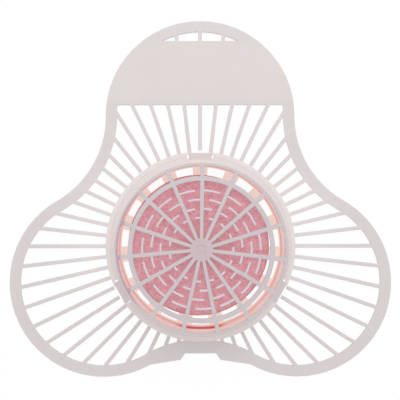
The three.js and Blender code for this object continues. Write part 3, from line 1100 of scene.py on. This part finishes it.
lid_tones_and_light, group_in, group_out = new_group("lid_tones", [], [("Color", COLOUR),
                                                             ("Through", FLOAT)])
here = use_group(lid_tones_and_light, place_group)
height = here.outputs["Height"]
colour = blend(lid_tones_and_light, mask(lid_tones_and_light, height, 7.0, 22.0), FLANGE_TONE, GRILLE_TONE)
near_hub = mask(lid_tones_and_light, here.outputs["Radius"], HUB_RADIUS - 1, HUB_RADIUS + 2, 1.0, 0.0)
colour = blend(lid_tones_and_light, near_hub, colour, HUB_TONE)
turn = here.outputs["Angle"]
past_spoke = sums(lid_tones_and_light, "FLOORED_MODULO",
                  sums(lid_tones_and_light, "SUBTRACT", turn, 90 + SPOKE_TURN - SPOKE_PITCH / 2), SPOKE_PITCH)
off_spoke = sums(lid_tones_and_light, "ABSOLUTE", sums(lid_tones_and_light, "SUBTRACT", past_spoke, SPOKE_PITCH / 2))
off_spoke = sums(lid_tones_and_light, "MULTIPLY", off_spoke,
                 sums(lid_tones_and_light, "MULTIPLY", here.outputs["Radius"], math.pi / 180))
on_arm = sums(lid_tones_and_light, "MULTIPLY", mask(lid_tones_and_light, off_spoke, 0.9, 1.3), sums(
    lid_tones_and_light, "MULTIPLY",
    mask(lid_tones_and_light, here.outputs["Radius"], HUB_RADIUS + 1, HUB_RADIUS + 3),
    mask(lid_tones_and_light, here.outputs["Radius"], GRILLE_RING_INNER - 0.4, GRILLE_RING_INNER, 1, 0)))
colour = blend(lid_tones_and_light, on_arm, colour, ARM_TONE)
# A darker pink at the rim on the left, by the ends of the spokes.
to_left = mask(lid_tones_and_light, sums(lid_tones_and_light, "ABSOLUTE", turn), 130.0, 150.0, 0.0, 0.85)
at_rim = sums(lid_tones_and_light, "MULTIPLY",
              mask(lid_tones_and_light, here.outputs["Radius"], DRUM_RADIUS - 2.0, DRUM_RADIUS - 0.8),
              mask(lid_tones_and_light, here.outputs["Radius"], DRUM_RADIUS + 0.3, DRUM_RADIUS + 0.9, 1, 0))
colour = blend(lid_tones_and_light, sums(lid_tones_and_light, "MULTIPLY", to_left, at_rim), colour, LEFT_RIM_TONE)
# Painted light: a pale warm patch on the flange by the top lug.
to_panel = sums(lid_tones_and_light, "ABSOLUTE", sums(lid_tones_and_light, "SUBTRACT", turn, 90.0))
warm = sums(lid_tones_and_light, "MULTIPLY", mask(lid_tones_and_light, to_panel, 6.5, 8.0, 0.6, 0.0),
            mask(lid_tones_and_light, height, 6.5, 9.0, 1.0, 0.0))
colour = blend(lid_tones_and_light, warm, colour, LUG_LIGHT_TONE)
on_lug = sums(lid_tones_and_light, "MULTIPLY",
              mask(lid_tones_and_light, here.outputs["Radius"], LUG_START, LUG_START + 0.4),
              mask(lid_tones_and_light, height, LUG_TOP, LUG_TOP + 0.3, 1.0, 0.0))
colour = blend(lid_tones_and_light, on_lug, colour, LUG_TONE)
# Painted pink light from the block on the inside of the drum, strongest low down.
inside = sums(lid_tones_and_light, "MULTIPLY",
              mask(lid_tones_and_light, here.outputs["Radius"], DRUM_RADIUS - 0.5, DRUM_RADIUS - 0.2),
              mask(lid_tones_and_light, here.outputs["Radius"], DRUM_FOOT + 0.2, DRUM_FOOT + 0.6, 1.0, 0.0))
inside = sums(lid_tones_and_light, "MULTIPLY", inside,
              mask(lid_tones_and_light, height, WALL_TOP - 0.2, WALL_TOP + 0.2, 1.0, 0.0))
low = mask(lid_tones_and_light, height, 14.0, 24.5, 1.0, 0.4)
colour = blend(lid_tones_and_light, sums(lid_tones_and_light, "MULTIPLY", inside, low), colour, WALL_TONE)
# A red line low round the inside of the drum, strongest towards the notch.
wavy = sums(lid_tones_and_light, "MULTIPLY", sums(lid_tones_and_light, "SUBTRACT", noise(
    lid_tones_and_light, here.outputs["Point"], 160.0), 0.5), 3.0)
level = sums(lid_tones_and_light, "ADD", height, wavy)
band = sums(lid_tones_and_light, "MULTIPLY", mask(lid_tones_and_light, level, RED_FOOT - 0.7, RED_FOOT + 0.7),
            mask(lid_tones_and_light, level, RED_HEAD - 2.5, RED_HEAD + 1.5, 1.0, 0.0))
from_notch = sums(lid_tones_and_light, "ABSOLUTE", sums(lid_tones_and_light, "ADD", turn, 90.0))
strength = mask(lid_tones_and_light, from_notch, 11.0, 20.0, 1.0, 0.3)
red = sums(lid_tones_and_light, "MULTIPLY", sums(lid_tones_and_light, "MULTIPLY", band, inside), strength)
put(lid_tones_and_light, group_out.inputs["Color"], blend(lid_tones_and_light, red, colour, RED_TONE))
# Painted glow on the inside of the drum, and a little on all the lid.
wall_glow = mask(lid_tones_and_light, height, 5.0, 25.0, 0.7, 0.55)
put(lid_tones_and_light, group_out.inputs["Through"],
    sums(lid_tones_and_light, "MAXIMUM", sums(lid_tones_and_light, "MULTIPLY", inside, wall_glow), 0.1))

lid_material, tree, shader = start_material("snap_lid_plastic")
tones = use_group(tree, lid_tones_and_light)
skin = use_group(tree, skin_group, Color=tones.outputs["Color"], Swirl=0.05, Grain=0.3,
                 Through=tones.outputs["Through"])
wear_skin(tree, skin, shader)
shader.inputs["Subsurface Weight"].default_value = 0.2
shader.inputs["Subsurface Radius"].default_value = (1.0, 0.6, 0.6)
shader.inputs["Subsurface Scale"].default_value = 1.0 * MM
dress(lid_piece, lid_material)

# %% [markdown]
# The block is pressed from pink waxy grains, so its colour is speckled and its surface rough and
# without shine. A little light comes back out of its depth, and a share of its colour is given
# off as a painted glow besides. Its side is a much deeper red than its top.

# %% The block's finish
BLOCK_TONE = srgb(242, 182, 191)
BLOCK_DEEP_TONE = srgb(219, 146, 158)
BLOCK_SIDE_TONE = srgb(170, 48, 62)
BLOCK_GLOW_SHARE = 0.3

block_grains_and_glow, group_in, group_out = new_group(
    "pressed_grains", [], [("Color", COLOUR), ("Glow", COLOUR), ("Roughness", FLOAT),
                           ("Normal", VECTOR)])
here = use_group(block_grains_and_glow, place_group)
grains = block_grains_and_glow.nodes.new("ShaderNodeTexVoronoi")
put(block_grains_and_glow, grains.inputs["Vector"], here.outputs["Point"])
grains.inputs["Scale"].default_value = 1200.0
speckle = block_grains_and_glow.nodes.new("ShaderNodeSeparateColor")
put(block_grains_and_glow, speckle.inputs[0], grains.outputs["Color"])
cloud = noise(block_grains_and_glow, here.outputs["Point"], 260.0, 4.0)
deep = sums(block_grains_and_glow, "ADD", sums(block_grains_and_glow, "MULTIPLY", speckle.outputs[0], 0.8),
            mask(block_grains_and_glow, cloud, 0.35, 0.7, 0.0, 0.2))
colour = blend(block_grains_and_glow, deep, BLOCK_TONE, BLOCK_DEEP_TONE)
near_axis = mask(block_grains_and_glow, here.outputs["Radius"], 6.0, 20.0, 0.1, 0.0)
colour = blend(block_grains_and_glow, near_axis, colour, BLOCK_DEEP_TONE)
side = mask(block_grains_and_glow, here.outputs["Height"], BLOCK_TOP - 1.5, BLOCK_TOP - 0.6, 1.0, 0.0)
colour = blend(block_grains_and_glow, side, colour, BLOCK_SIDE_TONE)
# A share of the colour is given off as a painted glow.
put(block_grains_and_glow, group_out.inputs["Color"], scaled(block_grains_and_glow, colour, 1 - BLOCK_GLOW_SHARE))
put(block_grains_and_glow, group_out.inputs["Glow"], scaled(block_grains_and_glow, colour, BLOCK_GLOW_SHARE))
put(block_grains_and_glow, group_out.inputs["Roughness"], mask(block_grains_and_glow, cloud, 0.3, 0.7, 0.8, 0.95))
bump = block_grains_and_glow.nodes.new("ShaderNodeBump")
bump.inputs["Distance"].default_value = 0.12 * MM
bump.inputs["Strength"].default_value = 0.8
put(block_grains_and_glow, bump.inputs["Height"], noise(block_grains_and_glow, here.outputs["Point"], 1100.0, 5.0))
put(block_grains_and_glow, group_out.inputs["Normal"], bump.outputs[0])

block_material, tree, shader = start_material("pressed_scent_block")
tones = use_group(tree, block_grains_and_glow)
wear_skin(tree, tones, shader)
shader.inputs["Subsurface Weight"].default_value = 0.1
shader.inputs["Subsurface Radius"].default_value = (1.0, 0.3, 0.3)
shader.inputs["Subsurface Scale"].default_value = 0.8 * MM
dress(block, block_material)

# %% [markdown]
# Last, the finished model is measured against the frame it was built in. The two boxes should
# agree.

# %% Sizes
look_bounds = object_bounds()


for label, corners in (("frame", cad_bounds), ("model", look_bounds)):
    print(label, [round((high - low) / MM, 1) for low, high in zip(*corners)], "mm")
